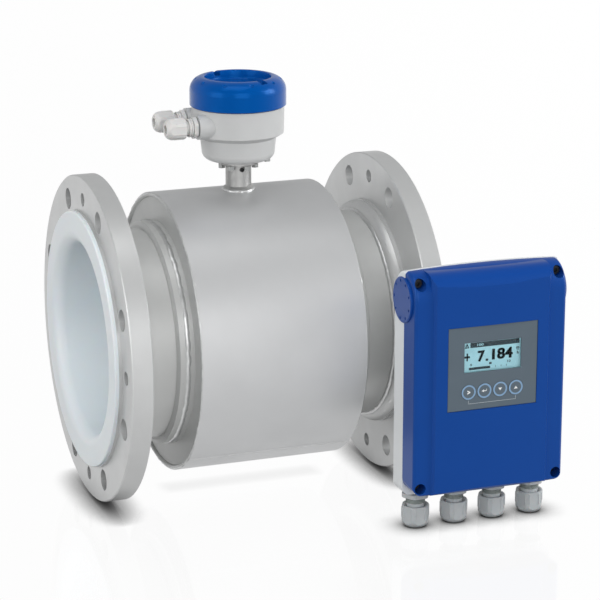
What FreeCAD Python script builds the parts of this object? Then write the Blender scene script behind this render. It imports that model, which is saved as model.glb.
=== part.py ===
"""Electromagnetic flow meter, remote version: a flanged DN 200 sensor and its signal converter.

Millimetres. The origin is on the pipe axis at the middle of the sensor. +X runs along the pipe
from the inlet to the outlet, +Z points up through the neck, and the converter faces -Y.
"""
import FreeCAD, Part
import math
import os

os.makedirs("parts", exist_ok=True)

point = FreeCAD.Vector
origin = point(0, 0, 0)
along = point(1, 0, 0)
across = point(0, 1, 0)
upward = point(0, 0, 1)

# Clearances
running_gap = 0.3
thread_gap = 0.3

# Sensor: pipe, flanges and liner
build_length = 350.0
tube_dia = 219.1
tube_wall = 5.0
tube_mouth_radius = 4.0
liner_wall = 4.8
liner_mouth_radius = 12.0
flare_dia = 266.0
flare_thickness = 4.0
flare_edge_radius = 1.5
flange_dia = 340.0
flange_thickness = 22.0
flange_chamfer = 1.0
raised_face_dia = 268.0
raised_face_height = 3.0
bolt_circle = 295.0
bolt_hole_dia = 22.0
bolt_count = 8
jack_hole_dia = 14.0
jack_count = 4
hub_height = 11.0
hub_length = 4.0
hub_weld_length = 11.0

# Sensor: housing
shell_dia = 292.0
shell_wall = 3.0
shell_length = 176.0
end_plate_thickness = 6.0
end_plate_recess = 1.0
rim_bead = 1.4
collar_height = 8.0
collar_length = 16.0
collar_taper = 5.0
seam_angle = 50.0
seam_bead_radius = 4.0
seam_bead_rise = 0.7

# Sensor: magnet and electrodes
core_length = 60.0
core_width = 50.0
coil_clearance = 2.5
coil_winding = 24.0
coil_headroom = 5.5
yoke_thickness = 3.0
yoke_clearance = 6.5
yoke_length = 64.0
pole_shoe_thickness = 2.2
pole_shoe_margin = 8.0
electrode_head_radius = 6.0
electrode_head_thickness = 1.6
electrode_stem_radius = 2.5
electrode_stem_reach = 10.5
insulator_radius = 6.0
insulator_collar_radius = 9.0
insulator_collar_thickness = 3.5
electrode_nut_flats = 10.0
electrode_nut_height = 5.0

# Sensor: neck
neck_dia = 26.9
neck_wall = 2.6
neck_inner_end = 140.0
neck_weld = 4.2
neck_top = 173.2
neck_flange_dia = 41.0
neck_flange_thickness = 4.0
neck_bolt_circle = 34.6
neck_bolt_count = 6
neck_bolt_first = 45.0
neck_bolt_radius = 2.0
neck_bolt_flats = 6.6
neck_bolt_head = 4.8
neck_bolt_grip = 3.2
neck_gasket_thickness = 0.8

# Sensor: terminal box and lid
box_floor = 4.2
box_wall = 3.8
box_base_radius = 29.0
box_corner = 9.0
box_lower_height = 23.5
box_lower_draft = 1.6
box_step = 5.0
box_upper_radius = 48.0
box_height = 56.2
thread_radius = 44.9
thread_height = 12.5
lid_radius = 50.0
lid_height = 29.9
lid_gap = 0.7
lid_shoulder = 14.0
lid_shoulder_angle = 78.0
lid_opening_radius = 34.4
lid_rim_width = 2.4
lid_dish_depth = 9.0
lid_top_thickness = 3.0
lid_slot_width = 8.0
lid_slot_depth = 5.0
lid_slot_angle = 110.0
lid_dimple_count = 10
lid_dimple_radius = 3.0
lid_dimple_depth = 1.5
lid_dimple_angle = 55.0
gasket_section = 1.9
gland_spacing = 39.8
gland_drop = 16.2
gland_boss_radius = 12.6
gland_boss_reach = 51.0
earth_angle = -20.0
earth_reach = 29.5
earth_spot_depth = 1.2
earth_washer_radius = 4.0
earth_thread = 4.2
terminal_board_radius = 31.0
terminal_board_height = 13.5
terminal_board_thickness = 1.6

# Cable glands: M20 on the converter, and their ratios for the two M16 ones on the box
box_gland_width = 0.765
box_gland_length = 0.9
gland_thread_radius = 9.9
gland_shank = 7.0
gland_seal_thickness = 1.5
gland_seal_radius = 12.0
gland_flats = 26.6
gland_hex = 4.5
gland_collar_radius = 9.2
gland_collar = 19.5
gland_bore = 6.8
gland_seat_radius = 8.1
nut_start = 15.0
nut_length = 22.5
nut_straight = 14.5
nut_corner_radius = 14.4
nut_mouth_radius = 6.2
nut_nose_radius = 9.6
nut_lip = 3.3
nut_countersink = 2.2
insert_radius = 7.7
insert_start = 20.5
nut_travel = 3.0
cable_hole_radius = 6.5

# Converter: place and housing
converter_x = 186.6
converter_back = -178.0
converter_width = 167.0
rear_depth = 26.25
rear_bottom = -137.0
rear_wall = 4.0
rear_corner = 9.0
rear_edge = 3.0
gland_pad_radius = 13.0
gland_pad_height = 8.0
cover_depth = 26.25
cover_bottom = -130.5
cover_wall = 3.8
cover_corner = 13.0
cover_edge = 4.0
cover_draft = 1.2
cover_foot_round = 2.5
barrel_height = 72.0
cover_bow = 2.2
panel_width = 130.0
panel_rise = 5.5
panel_slope = 4.0
panel_crown = 1.5
panel_roll = 20.0
panel_roll_top = 98.6
panel_chin = 3.5
ear_radius = 23.4
ear_height = 68.5
ear_setback = 3.2
ear_proud = 1.5
ear_gap = 0.2
ear_dimple_count = 9
ear_dimple_circle = 19.4
ear_dimple_radius = 1.5
ear_dimple_depth = 0.8
ear_dimple_first = 10.0
screw_spacing_x = 149.6
screw_spacing_z = 210.6
screw_height = -17.0
screw_recess_radius = 5.7
screw_head_radius = 4.4
screw_head = 4.0
screw_seat = 9.0
screw_grip = 12.0
screw_radius = 2.4
pillar_radius = 7.4
cover_gasket_inset = 0.8
cover_gasket_width = 1.6
cover_gasket_thickness = 1.6

# Converter: operating panel
fascia_width = 97.6
fascia_height = 87.0
fascia_x = 186.8
fascia_z = 0.2
fascia_thickness = 1.2
fascia_recess = 1.4
fascia_gap = 0.4
screen_width = 62.0
screen_height = 31.0
screen_z = 11.4
window_thickness = 1.2
window_lap = 2.0
display_gap = 0.6
key_count = 4
key_pitch = 17.2
key_z = -24.4
key_radius = 7.7
key_proud = 0.3
key_travel = 0.8
key_flange = 1.2
key_flange_lap = 0.7
key_stem_radius = 2.2

# Converter: electronics and wall fixing
board_thickness = 1.6
main_board_height = 150.0
main_board_width = 120.0
main_board_standoff = 9.0
display_board_height = 74.0
display_board_width = 84.0
converter_gland_pitch = 42.6
converter_gland_inset = 14.8
wall_hole_radius = 2.6
wall_hole_spacing_x = 116.0
wall_hole_spacing_z = 170.0
wall_hole_depth = 9.0
power_width = 50.0
power_height = 42.0
power_depth = 14.0
power_offset = -21.0
power_drop = 35.0
plug_width = 50.0
plug_height = 14.0
plug_depth = 12.0
plug_spacing = 54.0
plug_ways = 7

# Worked out from the sizes above
seal_x = build_length / 2
face_x = seal_x - flare_thickness
plate_x = face_x - raised_face_height
flange_back_x = plate_x - flange_thickness
tube_radius = tube_dia / 2
tube_bore = tube_radius - tube_wall
liner_bore = tube_bore - liner_wall
shell_radius = shell_dia / 2
shell_bore = shell_radius - shell_wall
shell_end = shell_length / 2
neck_radius = neck_dia / 2
neck_face = neck_top + neck_flange_thickness
box_base = neck_face + neck_gasket_thickness
box_top = box_base + box_height
lid_base = box_top + lid_gap
lid_top = lid_base + lid_height
gland_z = box_top - gland_drop
split_y = converter_back - rear_depth
strip_y = split_y - cover_depth
panel_y = strip_y - panel_rise
fascia_y = panel_y + fascia_recess
fascia_back = fascia_y + fascia_thickness
gland_y = converter_back - converter_gland_inset
nut_end = nut_start + nut_length
yoke_radius = shell_bore - yoke_clearance - yoke_thickness


def place_x(x, r):
    return point(x, 0, r)


def place_z(r, z):
    return point(r, 0, z)


def place_side(y, z):
    return point(0, y, z)


def bend(place, a, b, radius, start, end):
    """Start point and arc of a rounded corner, centred at (a, b), angles in degrees."""
    def at(angle):
        turn = math.radians(angle)
        return place(a + radius * math.cos(turn), b + radius * math.sin(turn))
    return at(start), [at((start + end) / 2), at(end)]


def outline(*steps):
    """Closed face through the steps: a point is a straight line, a pair is an arc."""
    edges = []
    here = steps[0]
    for step in steps[1:] + (steps[0],):
        if isinstance(step, list):
            edges.append(Part.Arc(here, step[0], step[1]).toShape())
            here = step[1]
        elif step.distanceToPoint(here) > 1e-6:
            edges.append(Part.LineSegment(here, step).toShape())
            here = step
    return Part.Face(Part.Wire(edges))


def turned(face, axis):
    return face.revolve(origin, axis, 360)


def rod(radius, start, direction, length):
    return Part.makeCylinder(radius, length, start, direction)


def ring(outer, inner, start, direction, length):
    return rod(outer, start, direction, length).cut(rod(inner, start, direction, length))


def block(low, high):
    return Part.makeBox(high.x - low.x, high.y - low.y, high.z - low.z, low)


def hexagon(flats, base, height):
    """Upright hexagonal prism on the Z axis."""
    reach = flats / math.sqrt(3)
    corners = [point(reach * math.cos(math.radians(60 * k)), reach * math.sin(math.radians(60 * k)), base)
               for k in range(6)]
    return outline(*corners).extrude(upward * height)


def moved(shape, start, direction):
    """Carry a shape built on the Z axis to a start point and direction."""
    placed = shape.copy()
    placed.Placement = FreeCAD.Placement(start, FreeCAD.Rotation(upward, direction))
    return placed


def around(shape, count, axis, first=0.0):
    copies = []
    for k in range(count):
        copy = shape.copy()
        copy.rotate(origin, axis, first + 360.0 * k / count)
        copies.append(copy)
    return copies


def fused(first, *others):
    return first.fuse(list(others)).removeSplitter()


def group(shapes):
    return Part.makeCompound(list(shapes))


def mirrored_x(shape):
    return shape.mirror(origin, along)


def save(name, shape):
    shape.exportStep("parts/" + name + ".step")


# Sensor: pipe, flanges and liner

def measuring_tube():
    r = tube_mouth_radius
    tube = turned(outline(
        place_x(-face_x, tube_radius),
        place_x(face_x, tube_radius),
        *bend(place_x, face_x - r, tube_bore + r, r, 0, -90),
        *bend(place_x, r - face_x, tube_bore + r, r, -90, -180)), along)
    for side in (-1, 1):
        tube = tube.cut(rod(insulator_radius, origin, across * side, tube_radius + 1))
    return tube


def liner():
    r = tube_mouth_radius
    mouth = liner_mouth_radius
    flare = flare_dia / 2
    edge = flare_edge_radius
    lining = turned(outline(
        *bend(place_x, r - face_x, tube_bore + r, r, -180, -90),
        *bend(place_x, face_x - r, tube_bore + r, r, -90, 0),
        place_x(face_x, flare),
        *bend(place_x, seal_x - edge, flare - edge, edge, 90, 0),
        *bend(place_x, seal_x - mouth, liner_bore + mouth, mouth, 0, -90),
        *bend(place_x, mouth - seal_x, liner_bore + mouth, mouth, -90, -180),
        *bend(place_x, edge - seal_x, flare - edge, edge, 180, 90),
        place_x(-face_x, flare)), along)
    for side in (-1, 1):
        start = across * side * liner_bore
        lining = lining.cut(rod(electrode_head_radius, start, across * side, electrode_head_thickness))
        lining = lining.cut(rod(electrode_stem_radius, start, across * side, liner_wall + 1))
    return lining


def outlet_flange():
    rim = flange_dia / 2
    hub = tube_radius + hub_height
    weld_start = flange_back_x - hub_length
    weld_end = weld_start - hub_weld_length
    bulge = place_x((weld_start + weld_end) / 2 - 0.6, tube_radius + hub_height / 2 + 1.2)
    plate = turned(outline(
        place_x(weld_end, tube_radius),
        [bulge, place_x(weld_start, hub - 1)],
        place_x(weld_start, hub),
        place_x(flange_back_x, hub),
        place_x(flange_back_x, rim - flange_chamfer),
        place_x(flange_back_x + flange_chamfer, rim),
        place_x(plate_x - flange_chamfer, rim),
        place_x(plate_x, rim - flange_chamfer),
        place_x(plate_x, raised_face_dia / 2),
        place_x(face_x, raised_face_dia / 2),
        place_x(face_x, tube_radius)), along)
    start = point(flange_back_x - 1, bolt_circle / 2, 0)
    bolt_hole = rod(bolt_hole_dia / 2, start, along, flange_thickness + 2)
    jack_hole = rod(jack_hole_dia / 2, start, along, flange_thickness + 2)
    holes = around(bolt_hole, bolt_count, along, 180.0 / bolt_count) + around(jack_hole, jack_count, along)
    return plate.cut(group(holes))


# Sensor: housing

def housing_shell():
    shell = ring(shell_radius, shell_bore, along * -shell_end, along, shell_length)
    seam_radius = shell_radius + seam_bead_rise - seam_bead_radius
    seam = rod(seam_bead_radius, point(-shell_end, 0, 0), along, shell_length)
    turn = math.radians(seam_angle)
    seam.translate(point(0, -seam_radius * math.cos(turn), -seam_radius * math.sin(turn)))
    shell = shell.fuse(seam).cut(rod(shell_bore, along * -shell_end, along, shell_length))
    return shell.cut(rod(neck_radius, upward * neck_inner_end, upward, shell_radius - neck_inner_end + 1))


def outlet_end_plate():
    face = shell_end - end_plate_recess
    collar = tube_radius + collar_height
    reach = face + collar_length + end_plate_recess
    bead = outline(
        place_x(face - end_plate_thickness, tube_radius),
        place_x(face - end_plate_thickness, shell_bore),
        place_x(shell_end, shell_bore),
        place_x(shell_end, shell_radius - 0.4),
        [place_x(shell_end + rim_bead, shell_radius - 2.6), place_x(face, shell_radius - 5.4)],
        place_x(face, collar),
        place_x(reach - 2, collar - 1),
        place_x(reach, collar - collar_taper),
        place_x(reach, tube_radius))
    return turned(bead, along)


# Sensor: magnet and electrodes

def core_outline(margin):
    """Upright prism over the pole, as wide as the core plus a margin all round."""
    half_x = core_length / 2 + margin
    half_y = core_width / 2 + margin
    prism = block(point(-half_x, -half_y, 0), point(half_x, half_y, shell_bore))
    upright = [e for e in prism.Edges if abs(e.tangentAt(e.FirstParameter).z) > 0.9]
    return prism.makeFillet(6 + margin / 2, upright)


def sleeve(inner, outer, length):
    return ring(outer, inner, along * (-length / 2), along, length)


def pole_core():
    core = sleeve(tube_radius, yoke_radius, build_length).common(core_outline(0))
    shoe = sleeve(tube_radius, tube_radius + pole_shoe_thickness, build_length)
    return fused(core, shoe.common(core_outline(pole_shoe_margin)))


def saddle_coil():
    low = tube_radius + coil_clearance
    winding = core_outline(coil_winding).cut(core_outline(0))
    return sleeve(low, yoke_radius - coil_headroom, build_length).common(winding)


def return_yoke():
    return sleeve(yoke_radius, yoke_radius + yoke_thickness, yoke_length)


def electrode():
    """Electrode on the +Z axis, its flat head flush with the liner's bore."""
    head = rod(electrode_head_radius, upward * liner_bore, upward, electrode_head_thickness)
    length = tube_radius + electrode_stem_reach - liner_bore
    return fused(head, rod(electrode_stem_radius, upward * liner_bore, upward, length))


def insulator():
    bush = rod(insulator_radius, upward * tube_bore, upward, tube_wall)
    collar = rod(insulator_collar_radius, upward * tube_radius, upward, insulator_collar_thickness)
    bush = fused(bush, collar).cut(rod(electrode_stem_radius, upward * tube_bore, upward, tube_wall * 3))
    return bush.cut(rod(tube_bore, along * -insulator_collar_radius, along, 2 * insulator_collar_radius))


def electrode_nut():
    base = tube_radius + insulator_collar_thickness
    nut = hexagon(electrode_nut_flats, base, electrode_nut_height)
    return nut.cut(rod(electrode_stem_radius, upward * base, upward, electrode_nut_height))


# Sensor: neck

def neck():
    pipe = ring(neck_radius, neck_radius - neck_wall, upward * neck_inner_end, upward,
                neck_face - neck_inner_end)
    crown = shell_radius
    weld = turned(outline(
        place_z(neck_radius - 0.5, crown - 3),
        place_z(neck_radius + neck_weld, crown - 3),
        place_z(neck_radius + neck_weld, crown),
        place_z(neck_radius, crown + neck_weld),
        place_z(neck_radius - 0.5, crown + neck_weld)), upward)
    weld = weld.cut(rod(shell_radius, along * -shell_end, along, shell_length))
    weld = weld.cut(rod(neck_radius - 0.5, upward * neck_inner_end, upward, neck_face))
    flange = turned(outline(
        place_z(neck_radius - 0.5, neck_top),
        *bend(place_z, neck_flange_dia / 2 - 1, neck_top + 1, 1, -90, 0),
        place_z(neck_flange_dia / 2, neck_face),
        place_z(neck_radius - 0.5, neck_face)), upward)
    body = fused(pipe, weld, flange)
    hole = rod(neck_bolt_radius, point(neck_bolt_circle / 2, 0, neck_top - 1), upward,
               neck_flange_thickness + 2)
    notch = block(point(neck_flange_dia / 2 - 1.3, -1.6, neck_top - 1),
                  point(neck_flange_dia / 2 + 1, 1.6, neck_face + 1))
    step = 180.0 / neck_bolt_count
    cuts = around(hole, neck_bolt_count, upward, neck_bolt_first)
    cuts += around(notch, neck_bolt_count, upward, neck_bolt_first + step)
    return body.cut(group(cuts))


def neck_gasket():
    gasket = ring(neck_flange_dia / 2 - 1.5, neck_radius, upward * neck_face, upward, neck_gasket_thickness)
    hole = rod(neck_bolt_radius, point(neck_bolt_circle / 2, 0, neck_face), upward, neck_gasket_thickness)
    return gasket.cut(group(around(hole, neck_bolt_count, upward, neck_bolt_first)))


def neck_bolts():
    head = hexagon(neck_bolt_flats, neck_top - neck_bolt_head, neck_bolt_head)
    length = neck_flange_thickness + neck_gasket_thickness + neck_bolt_grip
    head.rotate(origin, upward, 30)
    bolt = fused(head, rod(neck_bolt_radius, upward * neck_top, upward, length))
    bolt.translate(along * (neck_bolt_circle / 2))
    return group(around(bolt, neck_bolt_count, upward, neck_bolt_first))


# Sensor: terminal box and lid

def box_side():
    """Radii and heights of the box's outside, from the floor up."""
    low_top = box_base + box_lower_height
    low_radius = box_base_radius + box_corner
    return (
        *bend(place_z, box_base_radius, box_base + box_corner, box_corner, -90, 0),
        place_z(low_radius + box_lower_draft, low_top),
        place_z(box_upper_radius - 0.5, low_top + box_step),
        place_z(box_upper_radius, box_top))


def terminal_box():
    body = turned(outline(
        place_z(0, box_base),
        *box_side(),
        place_z(thread_radius, box_top),
        place_z(thread_radius, box_top + thread_height),
        place_z(0, box_top + thread_height)), upward)
    boss_start = -box_base_radius
    boss_length = gland_boss_reach + boss_start
    bosses = [rod(gland_boss_radius, point(boss_start, side * gland_spacing / 2, gland_z), -along,
                  boss_length) for side in (-1, 1)]
    web = block(point(-gland_boss_reach + 3, -gland_spacing / 2, gland_z - 7),
                point(boss_start, gland_spacing / 2, gland_z + 7))
    turn = math.radians(earth_angle)
    earth_at = point(earth_reach * math.cos(turn), earth_reach * math.sin(turn), box_base + earth_spot_depth)
    body = fused(body, *bosses, web)
    cavity = turned(outline(
        place_z(0, box_base + box_floor),
        *bend(place_z, box_base_radius - box_wall + 1, box_base + box_floor + 6, 6, -90, 0),
        place_z(box_base_radius + box_corner + box_lower_draft - box_wall, box_base + box_lower_height),
        place_z(thread_radius - box_wall + 0.4, box_base + box_lower_height + box_step),
        place_z(thread_radius - box_wall + 0.4, box_top + thread_height),
        place_z(0, box_top + thread_height)), upward)
    body = body.cut(cavity)
    post = rod(3.2, point(0, terminal_board_radius - 6, box_base + box_floor - 0.5), upward,
               terminal_board_height + 0.5)
    body = fused(body, *around(post, 3, upward, 30))
    entries = [rod(gland_thread_radius * box_gland_width,
                   point(-gland_boss_reach, side * gland_spacing / 2, gland_z), along,
                   gland_boss_reach + boss_start) for side in (-1, 1)]
    bolt = rod(neck_bolt_radius, point(neck_bolt_circle / 2, 0, box_base), upward, neck_bolt_grip)
    holes = entries + around(bolt, neck_bolt_count, upward, neck_bolt_first)
    holes.append(rod(neck_radius - neck_wall, upward * box_base, upward, box_floor))
    holes.append(rod(earth_washer_radius + running_gap, earth_at, -upward, box_corner))
    holes.append(rod(neck_bolt_radius, earth_at, upward, earth_thread + running_gap))
    return body.cut(group(holes))


def earth_screw():
    head = hexagon(7.0, -4.2, 3.0)
    washer = rod(earth_washer_radius, point(0, 0, -1.2), upward, 1.2)
    screw = fused(head, washer, rod(neck_bolt_radius, origin, upward, earth_thread))
    turn = math.radians(earth_angle)
    reach = point(math.cos(turn), math.sin(turn), 0) * earth_reach
    screw.translate(reach + upward * (box_base + earth_spot_depth))
    return screw


def terminal_board():
    base = box_base + box_floor + terminal_board_height
    board = rod(terminal_board_radius, upward * base, upward, terminal_board_thickness)
    return board.cut(rod(6, upward * base, upward, terminal_board_thickness))


def terminal_strips():
    base = box_base + box_floor + terminal_board_height + terminal_board_thickness
    strips = []
    for side in (-1, 1):
        centre = side * 15.0
        strip = block(point(-21, centre - 6, base), point(21, centre + 6, base + 11))
        pockets = [rod(2.4, point(-17.5 + 7 * k, centre, base + 5), upward, 6.5) for k in range(6)]
        strips.append(strip.cut(group(pockets)))
    return group(strips)


def lid_gasket():
    """O-ring in the lid's groove, just clear of the box's shoulder."""
    radius = gasket_section / 2
    centre = thread_radius + thread_gap + 0.15 + radius
    face = Part.Face(Part.Wire(Part.makeCircle(
        radius, point(centre, 0, box_top + running_gap + radius), across)))
    return turned(face, upward)


def lid():
    top = lid_top
    inner = thread_radius + thread_gap
    groove = inner + gasket_section + 0.6
    dish = top - lid_dish_depth
    under = dish - lid_top_thickness
    rim = lid_opening_radius + lid_rim_width
    shoulder_r = lid_radius - lid_shoulder
    opening = lid_opening_radius
    body = turned(outline(
        place_z(0, under),
        place_z(opening - 3, under),
        place_z(inner, under - 6),
        place_z(inner, lid_base + gasket_section + 0.4),
        place_z(groove, lid_base + gasket_section + 0.4),
        place_z(groove, lid_base),
        place_z(lid_radius - 0.8, lid_base),
        place_z(lid_radius, lid_base + 0.8),
        *bend(place_z, shoulder_r, top - lid_shoulder, lid_shoulder, 0, lid_shoulder_angle),
        place_z(rim, top),
        *bend(place_z, opening + 1.2, top - 1.2, 1.2, 90, 180),
        place_z(opening - 0.8, dish + 2),
        [place_z(opening - 1.6, dish + 0.5), place_z(opening - 4, dish)],
        place_z(0, dish + 0.8)), upward)
    slot = block(point(opening - 2, -lid_slot_width / 2, top - lid_slot_depth),
                 point(lid_radius - 6, lid_slot_width / 2, top + 1))
    turn = math.radians(lid_dimple_angle)
    reach = lid_shoulder + lid_dimple_radius - lid_dimple_depth
    dimple = Part.makeSphere(lid_dimple_radius, point(shoulder_r + reach * math.cos(turn), 0,
                                                      top - lid_shoulder + reach * math.sin(turn)))
    cuts = around(slot, 2, upward, lid_slot_angle) + around(dimple, lid_dimple_count, upward, -90)
    return body.cut(group(cuts))


# Cable glands, built on +Z with the mounting face at zero, from a width ratio and a length ratio

def gland_body(wide, long):
    hex_start = gland_seal_thickness * long
    hex_end = hex_start + gland_hex * long
    shank = rod(gland_thread_radius * wide, upward * -gland_shank * long, upward,
                gland_shank * long + hex_start)
    hex_part = hexagon(gland_flats * wide, hex_start, gland_hex * long)
    trim = rod(nut_corner_radius * wide, upward * hex_start, upward, gland_hex * long)
    collar = rod(gland_collar_radius * wide, upward * hex_end, upward, gland_collar * long)
    seat = (insert_start - nut_travel - running_gap) * long
    body = fused(shank, hex_part.common(trim), collar)
    body = body.cut(rod(gland_bore * wide, upward * -gland_shank * long, upward, gland_shank * long + seat))
    return body.cut(rod(gland_seat_radius * wide, upward * seat, upward, nut_end))


def gland_face_seal(wide, long):
    return ring(gland_seal_radius * wide, gland_thread_radius * wide, origin, upward,
                gland_seal_thickness * long)


def gland_insert(wide, long):
    """Rubber sealing insert, closed by its own thin skin until a cable is fitted."""
    start = insert_start * long
    end = (nut_end - nut_lip) * long - running_gap
    r = insert_radius * wide
    return turned(outline(
        place_z(0, start + 4),
        place_z(r * 0.65, start + 4),
        place_z(r * 0.65, start),
        place_z(r - 1, start),
        place_z(r, start + 1),
        place_z(r, end - 2),
        place_z(r - 2, end),
        place_z(0, end)), upward)


def gland_nut(wide, long):
    """Domed nut: hexagonal skirt turned to a round nose, open at its mouth."""
    start = nut_start * long
    end = nut_end * long
    reach = nut_corner_radius * wide
    nose = nut_nose_radius * wide
    straight = start + nut_straight * long
    outside = turned(outline(
        place_z(0, start),
        place_z(reach - 0.8, start),
        place_z(reach, start + 0.8),
        place_z(reach, straight),
        [place_z(reach * 0.9, straight + (end - straight) * 0.62), place_z(nose, end)],
        place_z(0, end)), upward)
    nut = outside.common(hexagon(gland_flats * wide, start, nut_length * long))
    inner = gland_collar_radius * wide + thread_gap
    seal = insert_radius * wide + running_gap
    hex_end = (gland_seal_thickness + gland_hex) * long
    collar_end = hex_end + (gland_collar + nut_travel) * long + running_gap
    lip_start = end - nut_lip * long
    hollow = turned(outline(
        place_z(0, start),
        place_z(inner + nut_countersink * wide, start),
        place_z(inner, start + nut_countersink * long),
        place_z(inner, collar_end),
        place_z(seal, collar_end + 1.5),
        place_z(seal, lip_start),
        place_z(nut_mouth_radius * wide, lip_start),
        place_z(nut_mouth_radius * wide, end),
        place_z(0, end)), upward)
    return nut.cut(hollow)


def gland_places():
    """Name, mounting point, outward direction, and width and length ratios of each gland."""
    small = (box_gland_width, box_gland_length)
    places = [("front_gland", point(-gland_boss_reach, -gland_spacing / 2, gland_z), -along, small),
              ("rear_gland", point(-gland_boss_reach, gland_spacing / 2, gland_z), -along, small)]
    for k in range(4):
        x = converter_x + (k - 1.5) * converter_gland_pitch
        places.append(("converter_gland_%d" % (k + 1), point(x, gland_y, rear_bottom), -upward, (1, 1)))
    return places


# Converter: housing

def front_outline(inset, bottom):
    """Front view at the joint of the two halves, as a face at y = 0 with its top bowed up."""
    left = converter_x - converter_width / 2 + inset
    right = converter_x + converter_width / 2 - inset
    low = bottom + inset
    high = barrel_height + cover_depth - inset
    r = cover_corner - inset * 0.6
    edge = cover_edge - inset * 0.6

    def place(x, z):
        return point(x, 0, z)

    return outline(
        *bend(place, left + r, low + r, r, 180, 270),
        *bend(place, right - r, low + r, r, -90, 0),
        *bend(place, right - edge, high - edge, edge, 0, 90),
        [place(converter_x, high + cover_bow), place(left + edge, high)],
        *bend(place, left + edge, high - edge, edge, 90, 180))


def foot_prism(inset, bottom, corner):
    """Prism through both halves, wider than they are, that rounds off their lower corners."""
    left = converter_x - converter_width / 2 + inset
    right = converter_x + converter_width / 2 - inset
    low = bottom + inset
    r = corner - inset * 0.6
    high = barrel_height + 2 * cover_depth

    def place(x, z):
        return point(x, panel_y - 1, z)

    face = outline(
        place(left - 5, high),
        place(left - 5, low + r + 5),
        *bend(place, left + r, low + r, r, 180, 270),
        *bend(place, right - r, low + r, r, -90, 0),
        place(right + 5, low + r + 5),
        place(right + 5, high))
    return face.extrude(across * (converter_back + 1 - panel_y + 1))


def rolled(plan, low, turn):
    """Plan section at the barrel's axis, carried down to its foot and rolled over the top."""
    down = plan.extrude(upward * (low - barrel_height))
    over = plan.revolve(point(0, split_y, barrel_height), along, turn)
    return down, over


def cover_solid(inset):
    """Outer form of the cover, pulled in by the inset on every side but the open back."""
    half = converter_width / 2 - inset
    left = converter_x - half
    right = converter_x + half
    strip = strip_y + inset
    edge = cover_edge - inset * 0.6
    low = cover_bottom + inset

    def plan(x, y):
        return point(x, y, barrel_height)

    section = outline(
        plan(left, split_y),
        *bend(plan, left + cover_draft + edge, strip + edge, edge, 180, 270),
        [plan(converter_x, strip - cover_bow), plan(right - cover_draft - edge, strip)],
        *bend(plan, right - cover_draft - edge, strip + edge, edge, -90, 0),
        plan(right, split_y))
    down, over = rolled(section, low, -90)
    foot_edges = [e for e in down.Edges
                  if e.BoundBox.ZMax < low + 0.01 and e.BoundBox.YMin < split_y - 1]
    down = down.makeFillet(cover_foot_round, foot_edges)
    return fused(down, over, panel_solid(inset)).common(foot_prism(inset, cover_bottom, cover_corner))


def panel_solid(inset):
    """Raised middle of the cover, with sloping sides, a rolled top and a rounded chin."""
    front = panel_y + inset
    half = panel_width / 2 - inset * 0.4
    flat = half - panel_slope
    foot = strip_y + 2
    low = cover_bottom + inset

    def plan(x, y):
        return point(x, y, cover_bottom - 1)

    def side(y, z):
        return point(converter_x - half - 1, y, z)

    from_above = outline(
        plan(converter_x - half, split_y),
        plan(converter_x - half, foot),
        plan(converter_x - flat, front + panel_crown),
        [plan(converter_x, front), plan(converter_x + flat, front + panel_crown)],
        plan(converter_x + half, foot),
        plan(converter_x + half, split_y)).extrude(upward * (panel_roll_top - cover_bottom + 2))
    roll = panel_roll - inset
    reach = front - panel_crown / 2
    top = panel_roll_top - inset
    from_side = outline(
        side(split_y, low),
        side(reach + panel_chin + panel_rise, low),
        [side(reach + panel_chin, low + 1.2), side(reach, low + panel_chin * 2)],
        *bend(side, reach + roll, top - roll, roll, 180, 90),
        side(split_y, top)).extrude(along * (2 * half + 2))
    return from_above.common(from_side)


def screw_places():
    return [point(converter_x + sx * screw_spacing_x / 2, 0, screw_height + sz * screw_spacing_z / 2)
            for sx in (-1, 1) for sz in (-1, 1)]


def key_places():
    return [point(fascia_x + (k - (key_count - 1) / 2) * key_pitch, 0, key_z) for k in range(key_count)]


def ear(side):
    """Round boss on the side of the cover that laps over the rear housing, with its dimples."""
    flank = converter_x + side * converter_width / 2
    centre = point(flank, split_y + ear_setback, ear_height)
    root = cover_draft + 1
    disc = turned(outline(
        place_z(0, -root),
        place_z(ear_radius, -root),
        *bend(place_z, ear_radius - 1, ear_proud - 1, 1, 0, 90),
        place_z(0, ear_proud)), upward)
    dimple = rod(ear_dimple_radius, point(ear_dimple_circle, 0, ear_proud - ear_dimple_depth), upward, 2)
    first = 90.0 + side * (90.0 - ear_dimple_first)
    disc = disc.cut(group(around(dimple, ear_dimple_count, upward, first)))
    disc = moved(disc, centre, along * side)
    high = ear_height + ear_radius + 1
    past_wall = block(point(flank - 5, converter_back - ear_gap, 0),
                      point(flank + 5, converter_back + 9, high))
    lap = [flank - side * (root + 1), flank + side * ear_gap]
    behind = block(point(min(lap), split_y, 0), point(max(lap), converter_back + 9, high))
    return disc.cut(group([past_wall, behind]))


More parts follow.
